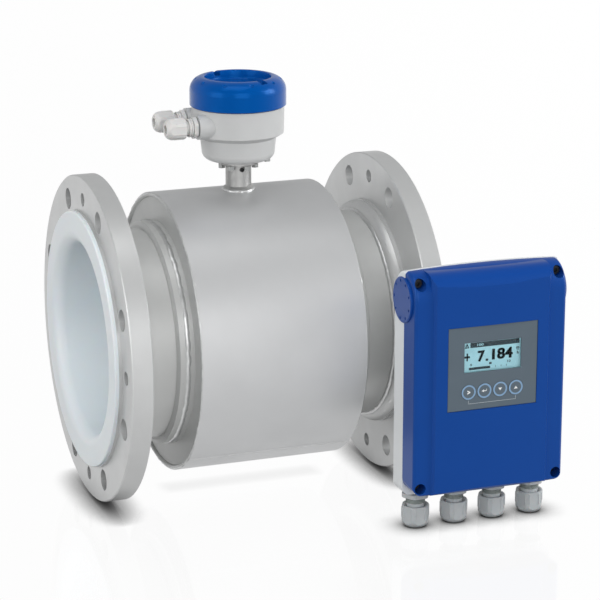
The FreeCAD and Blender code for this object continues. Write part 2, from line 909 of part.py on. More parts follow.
def front_cover():
    body = cover_solid(0).cut(cover_solid(cover_wall))
    inner_y = strip_y + cover_wall
    pillars = [rod(pillar_radius, point(p.x, inner_y - 1, p.z), across, split_y - inner_y + 1)
               for p in screw_places()]
    pillars = group(pillars).common(cover_solid(cover_wall / 2))
    board_posts = [rod(2.5, point(fascia_x + sx * 38, panel_y + cover_wall, sz * 33 - 2), across,
                       display_board_y() - panel_y - cover_wall)
                   for sx in (-1, 1) for sz in (-1, 1)]
    body = fused(body, *pillars.Solids, *board_posts, ear(-1), ear(1))
    half_w = fascia_width / 2
    half_h = fascia_height / 2
    pocket = block(point(fascia_x - half_w, panel_y - 2, fascia_z - half_h),
                   point(fascia_x + half_w, fascia_back, fascia_z + half_h))
    half_w = screen_width / 2 + window_lap
    half_h = screen_height / 2 + window_lap
    opening = block(point(fascia_x - half_w, fascia_back, screen_z - half_h),
                    point(fascia_x + half_w, fascia_back + 5, screen_z + half_h))
    cuts = [pocket, opening]
    for p in screw_places():
        cuts.append(rod(screw_recess_radius, point(p.x, panel_y - 1, p.z), across,
                        split_y - screw_seat - panel_y + 1))
        cuts.append(rod(screw_radius, point(p.x, panel_y, p.z), across, split_y - panel_y))
    for p in key_places():
        cuts.append(rod(key_radius + running_gap, point(p.x, panel_y - 1, p.z), across, cover_wall + 4))
    return body.cut(group(cuts))


def rear_solid(inset, bottom):
    """Outer form of the rear housing, pulled in by the inset on every side but the open front."""
    half = converter_width / 2 - inset
    left = converter_x - half
    right = converter_x + half
    back = converter_back - inset
    edge = rear_edge - inset * 0.5

    def plan(x, y):
        return point(x, y, barrel_height)

    sides = (plan(right, split_y),
             *bend(plan, right - edge, back - edge, edge, 0, 90))
    corner = bend(plan, left + edge, back - edge, edge, 90, 180)
    down = outline(*sides, *corner, plan(left, split_y)).extrude(upward * (bottom + inset - barrel_height))
    bowed = outline(*sides, [plan(converter_x, back + cover_bow), corner[0]], corner[1], plan(left, split_y))
    over = bowed.revolve(point(0, split_y, barrel_height), along, 90)
    room = block(point(left - 5, split_y, bottom), point(right + 5, back, barrel_height + 2 * rear_depth))
    return fused(down, over.common(room)).common(foot_prism(inset, bottom, rear_corner))


def rear_housing():
    shell = rear_solid(0, rear_bottom)
    pads = [rod(gland_pad_radius, place, upward, gland_pad_height)
            for name, place, out, size in gland_places()[2:]]
    room = block(point(converter_x - converter_width, split_y, rear_bottom),
                 point(converter_x + converter_width, converter_back, 0))
    shell = fused(shell, *[pad.common(room) for pad in pads])
    body = shell.cut(rear_solid(rear_wall, cover_bottom))
    pillars = [rod(pillar_radius, point(p.x, split_y, p.z), across, rear_depth - 1) for p in screw_places()]
    wall_bosses = [rod(wall_hole_radius + 3, p - across * (wall_hole_depth + 2.5), across,
                       wall_hole_depth + 1.5) for p in wall_holes()]
    board_posts = [rod(3, point(converter_x + sx * (main_board_width / 2 - 6), converter_back - rear_wall
                                - main_board_standoff, main_board_z() + sz * (main_board_height / 2 - 6)),
                       across, main_board_standoff + 1) for sx in (-1, 1) for sz in (-1, 1)]
    ribs = group(pillars + wall_bosses).common(rear_solid(0, rear_bottom)).Solids
    body = fused(body, *ribs, *board_posts)
    cuts = [rod(screw_radius, point(p.x, split_y, p.z), across, screw_grip + 1) for p in screw_places()]
    cuts += [rod(wall_hole_radius, p, -across, wall_hole_depth) for p in wall_holes()]
    for name, place, out, size in gland_places()[2:]:
        cuts.append(rod(gland_thread_radius, place, upward, gland_shank + running_gap))
        cuts.append(rod(cable_hole_radius, place, upward, cover_bottom + rear_wall - rear_bottom + 1))
    cuts.append(cover_gasket())
    return body.cut(group(cuts))


def cover_gasket():
    rim = front_outline(cover_gasket_inset, cover_bottom)
    rim = rim.cut(front_outline(cover_gasket_inset + cover_gasket_width, cover_bottom))
    rim.translate(across * split_y)
    return rim.extrude(across * cover_gasket_thickness)


def cover_screws():
    screws = []
    for p in screw_places():
        seat = point(p.x, split_y - screw_seat, p.z)
        head = rod(screw_head_radius, seat, -across, screw_head)
        screw = fused(head, rod(screw_radius, seat, across, screw_seat + screw_grip))
        socket = moved(hexagon(4.0, 0, 2.2), seat - across * screw_head, across)
        screws.append(screw.cut(socket))
    return group(screws)


def wall_holes():
    return [point(converter_x + sx * wall_hole_spacing_x / 2, converter_back,
                  screw_height + sz * wall_hole_spacing_z / 2) for sx in (-1, 1) for sz in (-1, 1)]


# Converter: operating panel and electronics

def display_board_y():
    return panel_y + cover_wall + 7.0


def main_board_z():
    return screw_height + 6.0


def fascia():
    half_w = fascia_width / 2 - fascia_gap
    half_h = fascia_height / 2 - fascia_gap
    plate = block(point(fascia_x - half_w, fascia_y, fascia_z - half_h),
                  point(fascia_x + half_w, fascia_back, fascia_z + half_h))
    plate = plate.cut(block(point(fascia_x - screen_width / 2, fascia_y, screen_z - screen_height / 2),
                            point(fascia_x + screen_width / 2, fascia_back, screen_z + screen_height / 2)))
    holes = [rod(key_radius + running_gap, point(p.x, fascia_y, p.z), across, fascia_thickness)
             for p in key_places()]
    return plate.cut(group(holes))


def display_window():
    half_w = screen_width / 2 + window_lap
    half_h = screen_height / 2 + window_lap
    return block(point(fascia_x - half_w, fascia_back, screen_z - half_h),
                 point(fascia_x + half_w, fascia_back + window_thickness, screen_z + half_h))


def display_module():
    half_w = screen_width / 2 + window_lap
    half_h = screen_height / 2 + window_lap
    front = fascia_back + window_thickness + display_gap
    return block(point(fascia_x - half_w, front, screen_z - half_h),
                 point(fascia_x + half_w, display_board_y(), screen_z + half_h))


def display_board():
    """Circuit board behind the panel, with one switch under each key."""
    y = display_board_y()
    board = block(point(fascia_x - display_board_width / 2, y, -2 - display_board_height / 2),
                  point(fascia_x + display_board_width / 2, y + board_thickness,
                        -2 + display_board_height / 2))
    switches = [rod(3, point(p.x, y, p.z), -across, 1.6) for p in key_places()]
    return fused(board, *switches)


def key(place):
    """Push key on +Y: cap, retaining flange behind the cover's wall, and stem."""
    front = fascia_y - key_proud
    wall_back = panel_y + cover_wall + panel_crown
    cap = rod(key_radius, point(place.x, front, place.z), across, wall_back + running_gap - front)
    flange = rod(key_radius + key_flange_lap, point(place.x, wall_back + running_gap, place.z), across,
                 key_flange)
    stem_end = display_board_y() - 1.6 - key_travel - running_gap
    stem = rod(key_stem_radius, point(place.x, wall_back, place.z), across, stem_end - wall_back)
    return fused(cap, flange, stem)


def main_board():
    y = converter_back - rear_wall - main_board_standoff
    z = main_board_z()
    return block(point(converter_x - main_board_width / 2, y - board_thickness, z - main_board_height / 2),
                 point(converter_x + main_board_width / 2, y, z + main_board_height / 2))


def power_module():
    y = converter_back - rear_wall - main_board_standoff - board_thickness
    x = converter_x + power_offset
    z = main_board_z() + main_board_height / 2 - power_drop
    case = block(point(x - power_width / 2, y - power_depth, z - power_height / 2),
                 point(x + power_width / 2, y, z + power_height / 2))
    return case.makeFillet(2, [e for e in case.Edges if abs(e.tangentAt(e.FirstParameter).y) > 0.9])


def converter_terminals():
    """Two plug-in terminal strips above the cable entries."""
    y = converter_back - rear_wall - main_board_standoff - board_thickness
    low = main_board_z() - main_board_height / 2 + 6
    pitch = plug_width / plug_ways
    strips = []
    for side in (-1, 1):
        centre = converter_x + side * plug_spacing / 2
        strip = block(point(centre - plug_width / 2, y - plug_depth, low),
                      point(centre + plug_width / 2, y, low + plug_height))
        pockets = [rod(2.2, point(centre + (k - (plug_ways - 1) / 2) * pitch, y - plug_depth,
                                  low + plug_height / 2), across, 6) for k in range(plug_ways)]
        strips.append(strip.cut(group(pockets)))
    return group(strips)


def build_sensor():
    save("measuring_tube", measuring_tube())
    save("liner", liner())
    flange = outlet_flange()
    save("outlet_flange", flange)
    save("inlet_flange", mirrored_x(flange))
    save("housing_shell", housing_shell())
    plate = outlet_end_plate()
    save("outlet_end_plate", plate)
    save("inlet_end_plate", mirrored_x(plate))
    core = pole_core()
    coil = saddle_coil()
    for name, turn in (("upper", 0), ("lower", 180)):
        for part_name, shape in (("pole_core", core), ("coil", coil)):
            copy = shape.copy()
            copy.rotate(origin, along, turn)
            save(name + "_" + part_name, copy)
    save("return_yoke", return_yoke())
    for name, direction in (("front", -across), ("rear", across)):
        save(name + "_electrode", moved(electrode(), origin, direction))
    save("electrode_insulators", group([moved(insulator(), origin, d) for d in (-across, across)]))
    save("electrode_nuts", group([moved(electrode_nut(), origin, d) for d in (-across, across)]))
    save("neck", neck())
    save("neck_gasket", neck_gasket())
    save("neck_bolts", neck_bolts())
    save("terminal_box", terminal_box())
    save("earth_screw", earth_screw())
    save("terminal_board", terminal_board())
    save("terminal_strips", terminal_strips())
    save("lid_gasket", lid_gasket())
    save("terminal_box_lid", lid())


def build_glands():
    seals = []
    for name, start, out, size in gland_places():
        save(name + "_body", moved(gland_body(*size), start, out))
        save(name + "_insert", moved(gland_insert(*size), start, out))
        save(name + "_nut", moved(gland_nut(*size), start, out))
        seals.append(moved(gland_face_seal(*size), start, out))
    save("gland_face_seals", group(seals))


def build_converter():
    save("rear_housing", rear_housing())
    save("front_cover", front_cover())
    save("cover_gasket", cover_gasket())
    save("cover_screws", cover_screws())
    save("fascia", fascia())
    save("display_window", display_window())
    save("display_module", display_module())
    save("display_board", display_board())
    for number, place in enumerate(key_places(), 1):
        save("key_%d" % number, key(place))
    save("main_board", main_board())
    save("power_module", power_module())
    save("converter_terminals", converter_terminals())


build_sensor()
build_glands()
build_converter()
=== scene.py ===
import bpy, math
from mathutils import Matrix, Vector


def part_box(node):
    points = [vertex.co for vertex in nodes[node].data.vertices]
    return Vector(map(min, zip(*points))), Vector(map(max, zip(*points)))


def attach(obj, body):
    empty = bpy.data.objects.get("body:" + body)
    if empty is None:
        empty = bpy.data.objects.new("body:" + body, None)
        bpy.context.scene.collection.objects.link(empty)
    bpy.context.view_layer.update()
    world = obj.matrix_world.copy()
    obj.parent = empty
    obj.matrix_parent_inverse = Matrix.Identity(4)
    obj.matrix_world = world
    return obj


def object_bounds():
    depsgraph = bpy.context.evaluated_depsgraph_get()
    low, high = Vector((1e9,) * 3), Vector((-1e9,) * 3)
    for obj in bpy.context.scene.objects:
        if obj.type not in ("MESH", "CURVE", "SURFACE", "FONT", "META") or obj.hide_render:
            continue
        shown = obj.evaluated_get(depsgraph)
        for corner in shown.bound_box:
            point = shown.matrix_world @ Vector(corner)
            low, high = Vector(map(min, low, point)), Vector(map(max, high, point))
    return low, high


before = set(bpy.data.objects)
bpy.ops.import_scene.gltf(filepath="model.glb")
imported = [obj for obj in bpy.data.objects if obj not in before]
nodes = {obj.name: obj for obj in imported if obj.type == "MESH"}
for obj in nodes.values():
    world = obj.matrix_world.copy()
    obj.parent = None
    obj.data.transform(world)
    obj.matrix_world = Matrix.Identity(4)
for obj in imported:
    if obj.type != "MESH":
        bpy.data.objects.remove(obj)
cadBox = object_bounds()
mm = 0.001
print("frame loaded:", len(nodes), "nodes")


# Colours are written as sRGB hex and turned to linear here
def linear(hexColour):
    parts = [int(hexColour[k:k + 2], 16) / 255 for k in (1, 3, 5)]
    return tuple(c / 12.92 if c <= 0.04045 else ((c + 0.055) / 1.055) ** 2.4 for c in parts) + (1.0,)


# One node with its settings and the sockets that feed it
def addNode(tree, kind, settings=None, links=None):
    node = tree.nodes.new(kind)
    for key, value in (settings or {}).items():
        if isinstance(key, int) or key in node.inputs:
            node.inputs[key].default_value = value
        else:
            setattr(node, key, value)
    for key, source in (links or {}).items():
        tree.links.new(source, node.inputs[key])
    return node


# ---- camera

# place in metres, yaw towards +X and pitch in degrees, lens and sensor in millimetres
camera = {"at": (-0.8129, -2.3887, 0.7373), "yaw": 20.25, "pitch": -15.77, "lens": 149.0,
          "sensor": 36.0, "farthest": 60.0}
cameraData = bpy.data.cameras.new("camera")
cameraData.lens = camera["lens"]
cameraData.sensor_width = camera["sensor"]
cameraData.clip_end = camera["farthest"]
cameraObject = bpy.data.objects.new("camera", cameraData)
cameraObject.location = camera["at"]
cameraObject.rotation_euler = (math.radians(90 + camera["pitch"]), 0,
                               math.radians(-camera["yaw"]))
bpy.context.scene.collection.objects.link(cameraObject)
bpy.context.scene.camera = cameraObject
bpy.context.scene.view_settings.view_transform = "Standard"


# ---- studio: white floor, soft tent brighter at its sides, four large lamps

studio = {
    "floor": {
        # size, and gap below the object's lowest point, in metres
        "size": 14.0, "gap": 0.0002,
        # what the floor throws back on the object
        "bounce": "#7a7a7a",
        # contact shadow: reach in metres, how fast it falls off, openness that is full paper white
        "shadowReach": 0.03, "shadowPower": 2.2, "shadowSamples": 16, "open": 0.96, "white": 1.015,
        "gloss": 0.09, "roughness": 0.07,
    },
    "tent": {
        # height at which the horizon's colour starts to turn, and where it has become the zenith's
        "horizon": "#ffffff", "zenith": "#a6a7a7", "low": 0.05, "high": 0.95,
        # light on the object: strength in front and behind, and what the sides add from sideStart out
        "strength": 0.66, "sideStrength": 0.2, "sideStart": 0.35,
        # the same tent as metal and glass mirror it
        "mirrorFrom": 0.25, "mirrorTo": 0.9, "mirrorFront": 0.6, "mirrorSide": 1.0,
    },
    "lampAim": (0.05, -0.05, 0.0),
    "lamps": {
        # name: power, place, size
        "leftLamp": (21.0, (-2.9, -1.1, 0.8), 1.7),
        "frontLamp": (34.0, (-0.5, -3.4, 1.0), 2.0),
        "rightLamp": (46.0, (2.7, -1.3, 1.2), 1.5),
        "topLamp": (20.0, (-0.4, -0.6, 2.8), 1.8),
    },
}


# 1 for rays that come from the camera, a mirror or glass, 0 for light on its way to the object
def seenDirectly(tree):
    path = addNode(tree, "ShaderNodeLightPath")
    both = addNode(tree, "ShaderNodeMath", {"operation": "MAXIMUM"},
                   {0: path.outputs["Is Camera Ray"], 1: path.outputs["Is Glossy Ray"]})
    return addNode(tree, "ShaderNodeMath", {"operation": "MAXIMUM"},
                   {0: both.outputs[0], 1: path.outputs["Is Transmission Ray"]}).outputs[0]


def buildTent():
    tent = studio["tent"]
    world = bpy.data.worlds.new("tent")
    bpy.context.scene.world = world
    world.use_nodes = True
    tree = world.node_tree
    tree.nodes.clear()
    coords = addNode(tree, "ShaderNodeTexCoord")
    split = addNode(tree, "ShaderNodeSeparateXYZ", None, {0: coords.outputs["Generated"]})
    height = addNode(tree, "ShaderNodeMapRange", {"From Min": tent["low"], "From Max": tent["high"]},
                     {0: split.outputs["Z"]})
    sky = addNode(tree, "ShaderNodeMix", {"data_type": "RGBA", 6: linear(tent["horizon"]),
                                          7: linear(tent["zenith"])}, {0: height.outputs[0]})
    side = addNode(tree, "ShaderNodeMath", {"operation": "ABSOLUTE"}, {0: split.outputs["X"]})
    level = addNode(tree, "ShaderNodeMapRange",
                    {"From Min": tent["sideStart"], "From Max": 1.0, "To Min": tent["strength"],
                     "To Max": tent["strength"] + tent["sideStrength"]}, {0: side.outputs[0]})
    light = addNode(tree, "ShaderNodeBackground", None,
                    {"Color": sky.outputs[2], "Strength": level.outputs[0]})
    sheen = addNode(tree, "ShaderNodeMapRange",
                    {"From Min": tent["mirrorFrom"], "From Max": tent["mirrorTo"],
                     "To Min": tent["mirrorFront"], "To Max": tent["mirrorSide"]}, {0: side.outputs[0]})
    mirrored = addNode(tree, "ShaderNodeBackground", None,
                       {"Color": sky.outputs[2], "Strength": sheen.outputs[0]})
    lit = addNode(tree, "ShaderNodeMixShader", None,
                  {0: seenDirectly(tree), 1: light.outputs[0], 2: mirrored.outputs[0]})
    backdrop = addNode(tree, "ShaderNodeBackground", {"Color": (1, 1, 1, 1), "Strength": 1.0})
    path = addNode(tree, "ShaderNodeLightPath")
    mix = addNode(tree, "ShaderNodeMixShader", None,
                  {0: path.outputs["Is Camera Ray"], 1: lit.outputs[0], 2: backdrop.outputs[0]})
    addNode(tree, "ShaderNodeOutputWorld", None, {0: mix.outputs[0]})


def buildLamp(name, power, at, size):
    data = bpy.data.lights.new(name, "AREA")
    data.energy = power
    data.size = size
    lamp = bpy.data.objects.new(name, data)
    lamp.location = at
    aim = Vector(studio["lampAim"]) - Vector(at)
    lamp.rotation_euler = aim.to_track_quat("-Z", "Y").to_euler()
    bpy.context.scene.collection.objects.link(lamp)


# White paper that darkens only close under the object, with a faint mirror image in it
def buildFloor():
    spec = studio["floor"]
    bpy.ops.mesh.primitive_plane_add(size=spec["size"], location=(0, 0, cadBox[0][2] - spec["gap"]))
    floor = bpy.context.object
    floor.name = "floor"
    material = bpy.data.materials.new("paperSweep")
    material.use_nodes = True
    tree = material.node_tree
    tree.nodes.clear()
    near = addNode(tree, "ShaderNodeAmbientOcclusion",
                   {"Distance": spec["shadowReach"], "samples": spec["shadowSamples"]})
    clear = addNode(tree, "ShaderNodeMapRange", {"From Max": spec["open"], "To Max": spec["white"]},
                    {0: near.outputs["AO"]})
    shade = addNode(tree, "ShaderNodeMath", {"operation": "POWER", 1: spec["shadowPower"]},
                    {0: clear.outputs[0]})
    paper = addNode(tree, "ShaderNodeEmission", {"Color": (1, 1, 1, 1)}, {"Strength": shade.outputs[0]})
    mirror = addNode(tree, "ShaderNodeBsdfGlossy",
                     {"Color": (1, 1, 1, 1), "Roughness": spec["roughness"]})
    lit = addNode(tree, "ShaderNodeMixShader", {0: spec["gloss"]},
                  {1: paper.outputs[0], 2: mirror.outputs[0]})
    seen = seenDirectly(tree)
    plain = addNode(tree, "ShaderNodeBsdfDiffuse", {"Color": linear(spec["bounce"])})
    mix = addNode(tree, "ShaderNodeMixShader", None, {0: seen, 1: plain.outputs[0], 2: lit.outputs[0]})
    addNode(tree, "ShaderNodeOutputMaterial", None, {0: mix.outputs[0]})
    floor.data.materials.append(material)


buildTent()
for name, (power, at, size) in studio["lamps"].items():
    buildLamp(name, power, at, size)
buildFloor()
print("camera and studio ready")


# ---- finishes

# Every finish has a colour that drifts to a second one over patch mm, a roughness that varies by
# spread, and a grain in mm that is grainDepth mm deep. A grain that is finer on the real part is
# drawn 0.25 to 0.5 mm wide, as coarse as it needs to be to show.
finishes = {
    # silver paint over blasted steel: soft sheen, slight orange peel, faint clouds from the spray gun
    "silverPaintedSteel": {"colour": "#d0d1d2", "second": "#c5c6c7", "patch": 55, "metallic": 0.6,
                           "roughness": 0.40, "spread": 0.10, "grain": 0.9, "grainDepth": 0.035},
    # the same paint on turned flanges: a smoother ground, so a tighter sheen
    "silverPaintedFlange": {"colour": "#cdcece", "second": "#c2c3c3", "patch": 30, "metallic": 0.45,
                            "roughness": 0.36, "spread": 0.12, "grain": 0.7, "grainDepth": 0.03},
    # the same silver paint on pipe and plates as a lit copy: a lighter colour and less metal sheen,
    # painting light into the shade between flanges and housing
    "silverPaintLitCopy": {"colour": "#d3d4d3", "second": "#c6c7c6", "patch": 40, "metallic": 0.3,
                          "roughness": 0.42, "spread": 0.10, "grain": 0.9, "grainDepth": 0.035},
    # hand-welded bead under the paint: lighter and darker patches about the ripples' size, a painted
    # highlight on the crests and painted shade in the hollows between the ripples
    "weldMetalPaintedShade": {"colour": "#dadbdb", "second": "#b4b5b5", "patch": 6, "metallic": 0.7,
                  "roughness": 0.32, "spread": 0.15, "grain": 1.6, "grainDepth": 0.16},
    # turned stainless steel of the neck: grey with a broad highlight, fine tool marks
    "turnedStainless": {"colour": "#b4b4b3", "second": "#a2a2a1", "patch": 9, "metallic": 0.75,
                        "roughness": 0.42, "spread": 0.12, "grain": 0.5, "grainDepth": 0.02},
    # blackened steel screws: dull sheen; their dark colour is also painted shade, for screws and a socket
    # sunk where little light reaches
    "blackSteelAndPaintedShade": {"colour": "#3a3b3c", "second": "#2c2d2e", "patch": 3, "metallic": 0.8,
                   "roughness": 0.42, "spread": 0.1, "grain": 0.4, "grainDepth": 0.01},
    # zinc-plated steel fasteners: bright and slightly streaked by handling
    "platedSteel": {"colour": "#b8b9b8", "second": "#8f9190", "patch": 3, "metallic": 1.0,
                    "roughness": 0.30, "spread": 0.12, "grain": 0.4, "grainDepth": 0.015},
    # moulded fluoropolymer lining: waxy, cool white
    "fluoropolymer": {"colour": "#f0f6f9", "second": "#e8f0f5", "patch": 70, "roughness": 0.34,
                      "spread": 0.06, "grain": 1.2, "grainDepth": 0.012, "subsurface": 0.12},
    # light grey powder coat on die-cast aluminium: even, half matt, fine pebbled skin
    "greyPowderCoat": {"colour": "#cbcccc", "second": "#c3c4c4", "patch": 30, "roughness": 0.36,
                       "spread": 0.06, "grain": 0.8, "grainDepth": 0.02},
    # blue gloss enamel of the lid: clear highlights that keep its blue
    "lidEnamel": {"colour": "#004fa0", "second": "#004a98", "patch": 30, "roughness": 0.20,
                  "spread": 0.05, "grain": 0.9, "grainDepth": 0.02, "tint": "#3fa0ff"},
    # blue paint on the converter's die-cast cover: half gloss, long soft highlights
    "coverPaint": {"colour": "#0b4396", "second": "#083e8e", "patch": 60, "roughness": 0.32,
                   "spread": 0.05, "grain": 0.8, "grainDepth": 0.016, "tint": "#8fb9ea"},
    # light grey paint on the converter's back half: nearly white, half matt
    "backPaint": {"colour": "#eff2f4", "second": "#e8ebed", "patch": 50, "roughness": 0.38,
                  "spread": 0.05, "grain": 0.8, "grainDepth": 0.018},
    # moulded polyamide of the converter's glands: dense grey, slightly waxy
    "glandNylon": {"colour": "#bfc3c5", "second": "#b4b9bb", "patch": 8, "roughness": 0.36,
                   "spread": 0.06, "grain": 0.35, "grainDepth": 0.012, "subsurface": 0.05},
    # the same polyamide as a lit copy, paler, painting the brighter light on the small glands of the
    # terminal box
    "nylonLitCopy": {"colour": "#dedddb", "second": "#d5d4d2", "patch": 8, "roughness": 0.34,
                  "spread": 0.06, "grain": 0.35, "grainDepth": 0.012, "subsurface": 0.05},
    # cut thread turns, darker for the oil and shade in them
    "threadNylon": {"colour": "#8f9794", "second": "#7d8582", "patch": 3, "roughness": 0.45,
                    "spread": 0.08, "grain": 0.3, "grainDepth": 0.01},
    # black nitrile rubber of gaskets: matt
    "gasketRubber": {"colour": "#202122", "second": "#191a1b", "patch": 5, "roughness": 0.62,
                     "spread": 0.08, "grain": 0.3, "grainDepth": 0.01},
    # grey silicone of the glands' face seals
    "sealGrey": {"colour": "#8b9092", "second": "#7f8486", "patch": 4, "roughness": 0.55,
                 "spread": 0.06, "grain": 0.3, "grainDepth": 0.01},
    # tan chloroprene of the glands' inserts
    "insertRubber": {"colour": "#8d8573", "second": "#7d7665", "patch": 4, "roughness": 0.6,
                     "spread": 0.08, "grain": 0.3, "grainDepth": 0.01},
    # printed polyester film over the operating panel: even and matt
    "panelFilm": {"colour": "#56646f", "second": "#515f6a", "patch": 20, "roughness": 0.40,
                  "spread": 0.04, "grain": 0.25, "grainDepth": 0.008},
    # clear acrylic with a coat that takes most of the reflection off
    "windowAcrylic": {"colour": "#ffffff", "second": "#ffffff", "patch": 20, "roughness": 0.04,
                      "spread": 0.02, "grain": 2.0, "grainDepth": 0.002, "transmission": 1.0,
                      "ior": 1.15},
    # backlit liquid crystal pane: pale blue green that glows a little
    "crystalPane": {"colour": "#93c3ce", "second": "#8bbcc8", "patch": 12, "roughness": 0.3,
                    "spread": 0.04, "grain": 0.25, "grainDepth": 0.003, "glow": 0.10},
    # the pane's dark segments
    "crystalInk": {"colour": "#0f2a34", "second": "#13303b", "patch": 2, "roughness": 0.6,
                   "spread": 0.04, "grain": 0.3, "grainDepth": 0.003},
    # screen printing inks on the film
    "keyRingInk": {"colour": "#86a8c8", "second": "#7f9fc0", "patch": 3, "roughness": 0.42,
                   "spread": 0.05, "grain": 0.3, "grainDepth": 0.005},
    "lineInk": {"colour": "#b9c1c7", "second": "#b0b8be", "patch": 2, "roughness": 0.5,
                "spread": 0.05, "grain": 0.3, "grainDepth": 0.005},
    "whiteInk": {"colour": "#f2f4f5", "second": "#e6e9ea", "patch": 2, "roughness": 0.5,
                 "spread": 0.05, "grain": 0.3, "grainDepth": 0.005},
    # enamelled winding wire, bundled: copper brown with the wire's ribs
    "windingCopper": {"colour": "#9a5530", "second": "#7d4122", "patch": 3, "metallic": 0.7,
                      "roughness": 0.38, "spread": 0.1, "grain": 0.8, "grainDepth": 0.2},
    # stacked electrical sheet: dark grey, edges ribbed
    "laminatedIron": {"colour": "#55585a", "second": "#45484a", "patch": 4, "metallic": 0.8,
                      "roughness": 0.5, "spread": 0.1, "grain": 0.6, "grainDepth": 0.05},
    # polished nickel alloy
    "electrodeAlloy": {"colour": "#c6c8c9", "second": "#b9bbbc", "patch": 2, "metallic": 1.0,
                       "roughness": 0.2, "spread": 0.06, "grain": 0.3, "grainDepth": 0.004},
    # turned acetal, ivory white
    "insulatorPlastic": {"colour": "#e6e6e0", "second": "#dcdcd6", "patch": 4, "roughness": 0.4,
                         "spread": 0.05, "grain": 0.3, "grainDepth": 0.006},
    # green solder resist over a circuit board: half gloss
    "boardResist": {"colour": "#1c5a38", "second": "#174b2f", "patch": 6, "roughness": 0.34,
                    "spread": 0.06, "grain": 1.2, "grainDepth": 0.02},
    # moulded polycarbonate terminals
    "terminalPlastic": {"colour": "#5d6568", "second": "#52595c", "patch": 5, "roughness": 0.48,
                        "spread": 0.05, "grain": 0.3, "grainDepth": 0.01},
    # potted power module in black plastic
    "moduleCase": {"colour": "#1b1c1e", "second": "#232427", "patch": 6, "roughness": 0.45,
                   "spread": 0.05, "grain": 0.4, "grainDepth": 0.015},
}

# A key that starts or ends with an underscore stands for every node whose name holds it
finishOf = {
    "measuring_tube": "silverPaintLitCopy", "housing_shell": "silverPaintedSteel",
    "inlet_end_plate": "silverPaintLitCopy", "outlet_end_plate": "silverPaintLitCopy",
    "inlet_flange": "silverPaintedFlange", "outlet_flange": "silverPaintedFlange",
    "liner": "fluoropolymer", "neck": "turnedStainless", "neck_bolts": "platedSteel",
    "neck_gasket": "gasketRubber", "terminal_box": "greyPowderCoat", "terminal_box_lid": "lidEnamel",
    "lid_gasket": "gasketRubber", "earth_screw": "platedSteel", "terminal_board": "boardResist",
    "terminal_strips": "terminalPlastic", "upper_coil": "windingCopper", "lower_coil": "windingCopper",
    "upper_pole_core": "laminatedIron", "lower_pole_core": "laminatedIron", "return_yoke": "laminatedIron",
    "front_electrode": "electrodeAlloy", "rear_electrode": "electrodeAlloy",
    "electrode_insulators": "insulatorPlastic", "electrode_nuts": "platedSteel",
    "gland_face_seals": "sealGrey", "rear_housing": "backPaint", "front_cover": "coverPaint",
    "cover_gasket": "gasketRubber", "cover_screws": "blackSteelAndPaintedShade", "fascia": "panelFilm",
    "display_window": "windowAcrylic", "display_module": "crystalPane", "display_board": "boardResist",
    "main_board": "boardResist", "power_module": "moduleCase", "converter_terminals": "terminalPlastic",
    "key_": "panelFilm", "front_gland_body": "nylonLitCopy", "rear_gland_body": "nylonLitCopy",
    "front_gland_nut": "nylonLitCopy", "rear_gland_nut": "nylonLitCopy", "_body": "glandNylon",
    "_nut": "glandNylon", "_insert": "insertRubber",
}


# octaves of the two noises, and how far light travels inside a waxy plastic in mm
finishDetail = {"patch": 3.0, "grain": 2.0, "scatter": 2}


def buildFinish(name, spec):
    material = bpy.data.materials.new(name)
    material.use_nodes = True
    tree = material.node_tree
    tree.nodes.clear()
    place = addNode(tree, "ShaderNodeTexCoord").outputs["Object"]
    cloud = addNode(tree, "ShaderNodeTexNoise",
                    {"Scale": 1 / (spec["patch"] * mm), "Detail": finishDetail["patch"]}, {"Vector": place})
    colour = addNode(tree, "ShaderNodeMix", {"data_type": "RGBA", 6: linear(spec["colour"]),
                                             7: linear(spec["second"])}, {0: cloud.outputs[0]})
    rough = addNode(tree, "ShaderNodeMapRange", {"To Min": spec["roughness"] - spec["spread"] / 2,
                                                 "To Max": spec["roughness"] + spec["spread"] / 2},
                    {0: cloud.outputs[0]})
    grain = addNode(tree, "ShaderNodeTexNoise",
                    {"Scale": 1 / (spec["grain"] * mm), "Detail": finishDetail["grain"]}, {"Vector": place})
    bump = addNode(tree, "ShaderNodeBump", {"Strength": 1.0, "Distance": spec["grainDepth"] * mm},
                   {"Height": grain.outputs[0]})
    settings = {"Metallic": spec.get("metallic", 0.0),
                "Transmission Weight": spec.get("transmission", 0.0),
                "Subsurface Weight": spec.get("subsurface", 0.0),
                "Subsurface Scale": finishDetail["scatter"] * mm,
                "Specular Tint": linear(spec.get("tint", "#ffffff"))}
    if "ior" in spec:
        settings["IOR"] = spec["ior"]
    if "glow" in spec:
        settings.update({"Emission Color": linear(spec["colour"]),
                         "Emission Strength": spec["glow"]})
    body = addNode(tree, "ShaderNodeBsdfPrincipled", settings,
                   {"Base Color": colour.outputs[2], "Roughness": rough.outputs[0],
                    "Normal": bump.outputs[0]})
    addNode(tree, "ShaderNodeOutputMaterial", None, {0: body.outputs[0]})
    return material


materials = {name: buildFinish(name, spec) for name, spec in finishes.items()}
for name, node in nodes.items():
    key = name if name in finishOf else next(k for k in finishOf
                                             if k in name and "_" in (k[0], k[-1]))
    node.data.materials.clear()
    node.data.materials.append(materials[finishOf[key]])
print("finishes assigned")


# ---- modelling helpers

def clearSelection():
    if bpy.context.object and bpy.context.object.mode != "OBJECT":
        bpy.ops.object.mode_set(mode="OBJECT")
    bpy.ops.object.select_all(action="DESELECT")


def pick(pieces):
    clearSelection()
    for piece in pieces:
        piece.select_set(True)
    bpy.context.view_layer.objects.active = pieces[0]


def joinPieces(pieces):
    pick(pieces)
    if len(pieces) > 1:
        bpy.ops.object.join()
    return bpy.context.object


smoothBelow = 40  # degrees between faces that still look round


